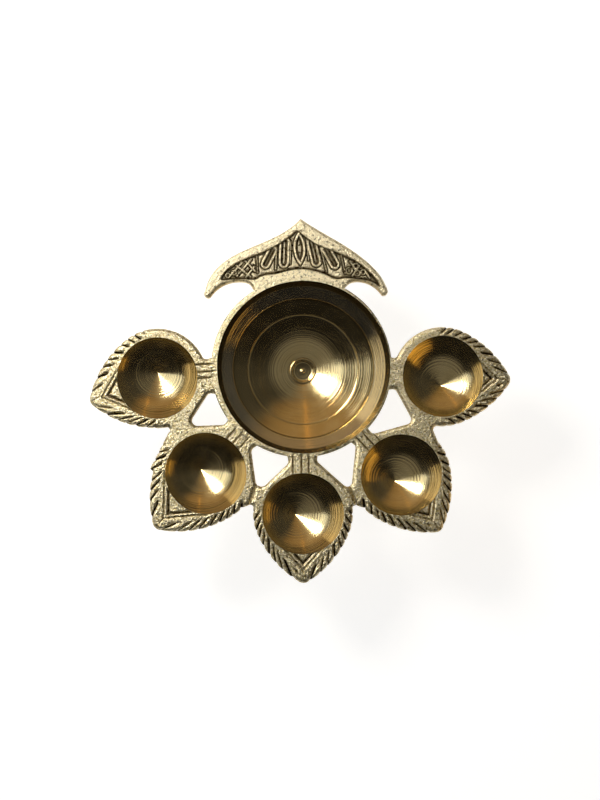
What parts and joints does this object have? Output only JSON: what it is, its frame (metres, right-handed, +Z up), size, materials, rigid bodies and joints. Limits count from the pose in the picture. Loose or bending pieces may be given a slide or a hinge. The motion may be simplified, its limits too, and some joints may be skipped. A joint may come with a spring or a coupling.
{
  "type": "aarti lamp",
  "caption": "Brass aarti lamp on a turned foot: a round oil bowl ringed in front by leaf-shaped wick cups, with a crescent lotus thumb grip behind.",
  "frame": {"origin": "middle of the lamp's footprint, on the table that it stands on", "axes": "+Z up, +Y towards the crest, +X to the right seen from the front leaf"},
  "size_m": [0.1496, 0.1298, 0.0442],
  "materials": {
    "cast_brass": "sand cast, satin",
    "turned_brass": "lathe turned, bright"
  },
  "bodies": {
    "root": {"oil_bowl": "cast_brass", "leaf_left": "cast_brass", "leaf_front_left": "cast_brass", "leaf_front": "cast_brass", "leaf_front_right": "cast_brass", "leaf_right": "cast_brass", "crest": "cast_brass", "foot": "turned_brass", "centre_bolt": "turned_brass", "washer": "turned_brass", "nut": "turned_brass"}
  },
  "joints": []
}
